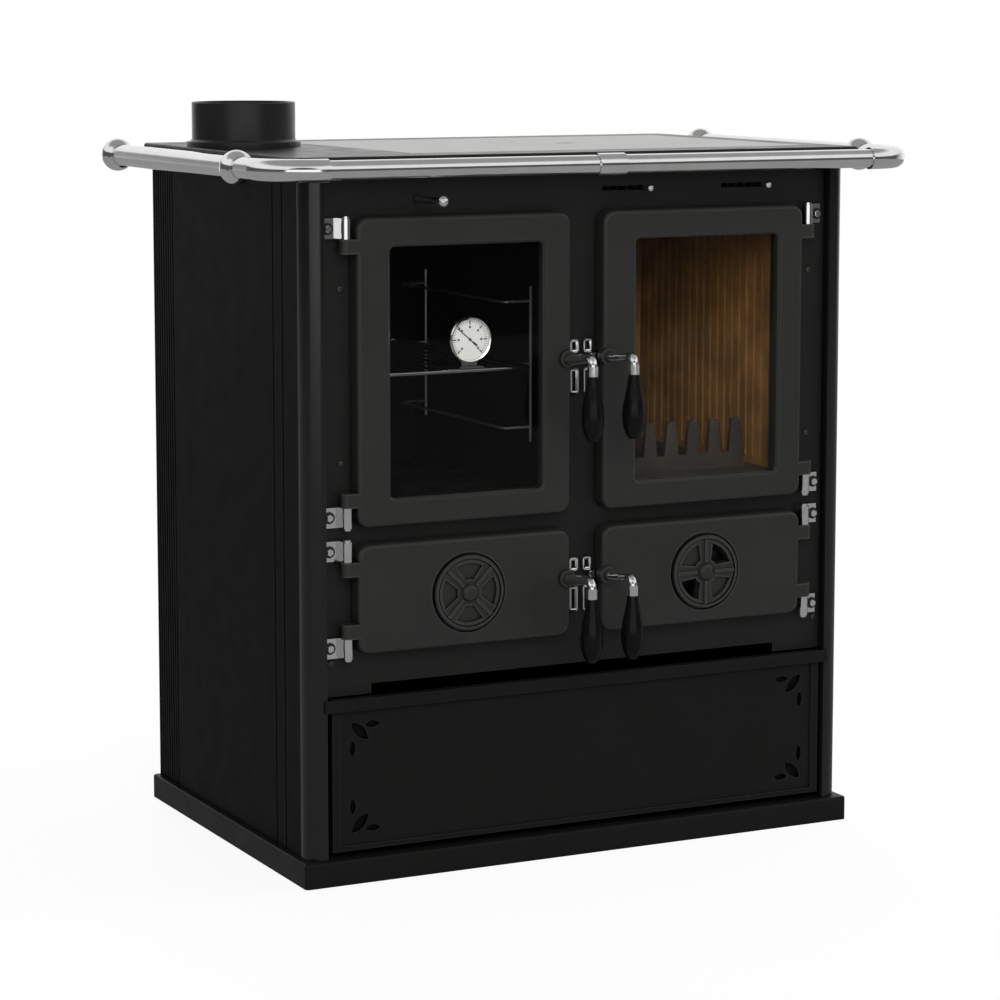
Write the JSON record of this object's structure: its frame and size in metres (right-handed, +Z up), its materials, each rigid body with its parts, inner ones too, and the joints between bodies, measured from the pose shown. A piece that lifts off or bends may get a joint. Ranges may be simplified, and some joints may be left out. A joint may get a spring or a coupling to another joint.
{
  "type": "wood cookstove",
  "caption": "Free-standing wood cookstove: glazed oven and fire doors, soot and ash doors, wood drawer, ringed cooking plate, flue collar and towel rail.",
  "frame": {"origin": "on the floor under the middle of the body", "axes": "+X to the right as one faces the doors, the doors face -Y, +Z up"},
  "size_m": [0.8949, 0.5919, 0.915],
  "materials": {
    "enamel": "satin anthracite enamel",
    "hob_enamel": "dark enamelled cast iron",
    "cook_steel": "ground cast iron",
    "raw_iron": "plain cast iron",
    "bright": "polished",
    "steel": "plain steel",
    "glass": "clear ceramic glass",
    "rope": "black glass-fibre rope",
    "grip": "black moulded",
    "dial": "white dial in a bright case"
  },
  "bodies": {
    "stove": {"plinth": "enamel", "base_plate": "steel", "side_panel_left": "enamel", "side_panel_right": "enamel", "back_panel": "enamel", "front_plate": "enamel", "heat_shield": "steel", "hob_flue_plate": "hob_enamel", "hob_frame": "hob_enamel", "cooking_plate": "cook_steel", "ring_outer": "cook_steel", "ring_middle": "cook_steel", "ring_lid": "cook_steel", "flue_collar": "hob_enamel", "rail_front": "bright", "rail_left": "bright", "rail_right": "bright", "rail_balls": "bright", "rail_sleeve": "bright", "smoke_shelf": "steel", "oven_box": "steel", "shelf_guides": "bright", "oven_shelf": "bright", "thermometer": "dial", "lower_chambers": "steel", "firebox_shell": "steel", "fire_lining": "raw_iron", "hearth": "raw_iron", "grate": "raw_iron", "log_retainer": "raw_iron", "ash_pan": "steel", "hinge_brackets": "enamel", "hinge_pins": "steel", "keepers": "bright", "drawer_runners": "steel"},
    "oven_door": {"oven_door": "enamel", "oven_glass": "glass", "oven_gasket": "rope"},
    "fire_door": {"fire_door": "enamel", "fire_glass": "glass", "fire_gasket": "rope"},
    "soot_door": {"soot_door": "enamel", "soot_gasket": "rope", "soot_rosette": "enamel"},
    "ash_door": {"ash_door": "enamel", "ash_gasket": "rope"},
    "air_register": {"air_register": "enamel"},
    "oven_latch": {"handle_oven": "bright", "grip_oven": "grip"},
    "fire_latch": {"handle_fire": "bright", "grip_fire": "grip"},
    "soot_latch": {"handle_soot": "bright", "grip_soot": "grip"},
    "ash_latch": {"handle_ash": "bright", "grip_ash": "grip"},
    "primary_air": {"primary_air_slider": "bright"},
    "secondary_air": {"secondary_air_slider": "bright"},
    "damper": {"damper": "bright"},
    "wood_drawer": {"drawer_front": "enamel", "drawer_box": "steel"}
  },
  "joints": [
    {"name": "oven_door_hinge", "type": "hinge", "parent": "stove", "child": "oven_door", "pos_m": [-0.318, -0.2495, 0.6075], "axis": [0, 0, -1], "range_deg": [0, 110]},
    {"name": "fire_door_hinge", "type": "hinge", "parent": "stove", "child": "fire_door", "pos_m": [0.3105, -0.2495, 0.6075], "axis": [0, 0, 1], "range_deg": [0, 110]},
    {"name": "soot_door_hinge", "type": "hinge", "parent": "stove", "child": "soot_door", "pos_m": [-0.318, -0.2495, 0.3405], "axis": [0, 0, -1], "range_deg": [0, 110]},
    {"name": "ash_door_hinge", "type": "hinge", "parent": "stove", "child": "ash_door", "pos_m": [0.3105, -0.2495, 0.3405], "axis": [0, 0, 1], "range_deg": [0, 110]},
    {"name": "oven_latch_turn", "type": "hinge", "parent": "oven_door", "child": "oven_latch", "pos_m": [-0.032, -0.2575, 0.613], "axis": [0, 1, 0], "range_deg": [0, 90]},
    {"name": "fire_latch_turn", "type": "hinge", "parent": "fire_door", "child": "fire_latch", "pos_m": [0.0235, -0.2575, 0.613], "axis": [0, -1, 0], "range_deg": [0, 90]},
    {"name": "soot_latch_turn", "type": "hinge", "parent": "soot_door", "child": "soot_latch", "pos_m": [-0.032, -0.2575, 0.346], "axis": [0, 1, 0], "range_deg": [0, 90]},
    {"name": "ash_latch_turn", "type": "hinge", "parent": "ash_door", "child": "ash_latch", "pos_m": [0.0235, -0.2575, 0.346], "axis": [0, -1, 0], "range_deg": [0, 90]},
    {"name": "air_register_turn", "type": "hinge", "parent": "ash_door", "child": "air_register", "pos_m": [0.16175, -0.2575, 0.3393], "axis": [0, 1, 0], "range_deg": [0, 90]},
    {"name": "primary_air_slide", "type": "slide", "parent": "stove", "child": "primary_air", "axis": [1, 0, 0], "range_m": [-0.05, 0]},
    {"name": "secondary_air_slide", "type": "slide", "parent": "stove", "child": "secondary_air", "axis": [1, 0, 0], "range_m": [-0.05, 0]},
    {"name": "damper_slide", "type": "slide", "parent": "stove", "child": "damper", "axis": [0, -1, 0], "range_m": [-0.05, 0]},
    {"name": "drawer_slide", "type": "slide", "parent": "stove", "child": "wood_drawer", "axis": [0, -1, 0], "range_m": [0, 0.4]}
  ]
}
